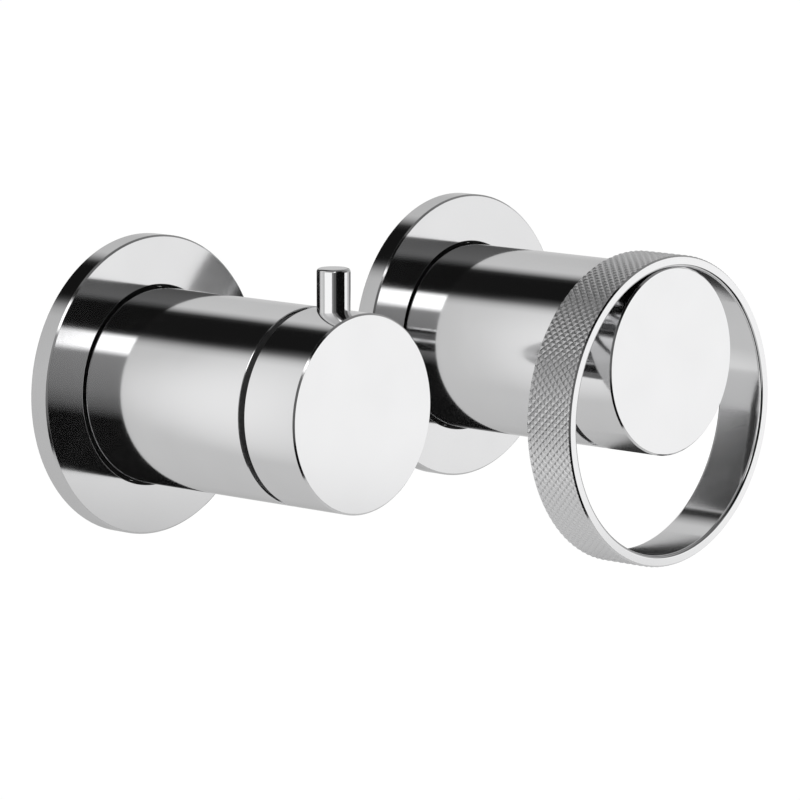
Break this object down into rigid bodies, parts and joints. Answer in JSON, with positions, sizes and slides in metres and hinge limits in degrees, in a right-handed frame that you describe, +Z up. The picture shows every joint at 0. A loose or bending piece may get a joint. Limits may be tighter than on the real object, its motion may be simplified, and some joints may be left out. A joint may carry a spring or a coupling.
{
  "type": "shower mixer",
  "caption": "Wall mounted built-in shower mixer: a mixing valve turned by a knurled ring and a diverter turned by a knob with a pin, each on a round sleeve and flange.",
  "frame": {"origin": "on the mixing valve's axis in the plane of the finished wall, at the flange's back", "axes": "+X to the right as the user sees it, away from the diverter; +Y into the wall along the valve's axis; +Z up"},
  "size_m": [0.1832, 0.0864, 0.0856],
  "materials": {
    "chrome": "polished",
    "brass": "turned",
    "steel": "plain",
    "rubber": "matte",
    "foam": "closed cell foam",
    "black_plastic": "matte",
    "grey_plastic": "moulded",
    "ceramic": "lapped ceramic"
  },
  "bodies": {
    "wall_set": {"mixer_flange": "chrome", "mixer_flange_seal": "foam", "mixer_flange_grip_ring": "rubber", "mixer_sleeve": "chrome", "mixer_glide_ring": "black_plastic", "mixer_neck": "brass", "mixer_carrier": "grey_plastic", "mixer_carrier_grip_ring": "rubber", "mixer_cartridge_body": "grey_plastic", "mixer_cartridge_base": "grey_plastic", "mixer_base_seal": "rubber", "mixer_fixed_disc": "ceramic", "diverter_flange": "chrome", "diverter_flange_seal": "foam", "diverter_flange_grip_ring": "rubber", "diverter_sleeve": "chrome", "diverter_glide_ring": "black_plastic", "diverter_neck": "brass", "diverter_carrier": "grey_plastic", "diverter_carrier_grip_ring": "rubber", "diverter_cartridge_body": "grey_plastic", "diverter_cartridge_base": "grey_plastic", "diverter_base_seal": "rubber", "diverter_fixed_disc": "ceramic"},
    "mixer_handle": {"mixer_moving_disc": "ceramic", "mixer_stem": "brass", "mixer_stem_seal": "rubber", "mixer_extension": "brass", "mixer_extension_screw": "steel", "mixer_knob": "chrome", "mixer_ring": "chrome", "mixer_ring_pins": "steel", "mixer_grub_screw": "steel", "mixer_grub_cap": "chrome"},
    "diverter_handle": {"diverter_moving_disc": "ceramic", "diverter_stem": "brass", "diverter_stem_seal": "rubber", "diverter_extension": "brass", "diverter_extension_screw": "steel", "diverter_knob": "chrome", "diverter_pin_lever": "chrome"}
  },
  "joints": [
    {"name": "mixer_turn", "type": "hinge", "parent": "wall_set", "child": "mixer_handle", "pos_m": [0, -0.0622, 0], "axis": [0, -1, 0], "range_deg": [0, 120]},
    {"name": "diverter_turn", "type": "hinge", "parent": "wall_set", "child": "diverter_handle", "pos_m": [-0.11, -0.0622, 0], "axis": [0, -1, 0], "range_deg": [-45, 45]}
  ]
}
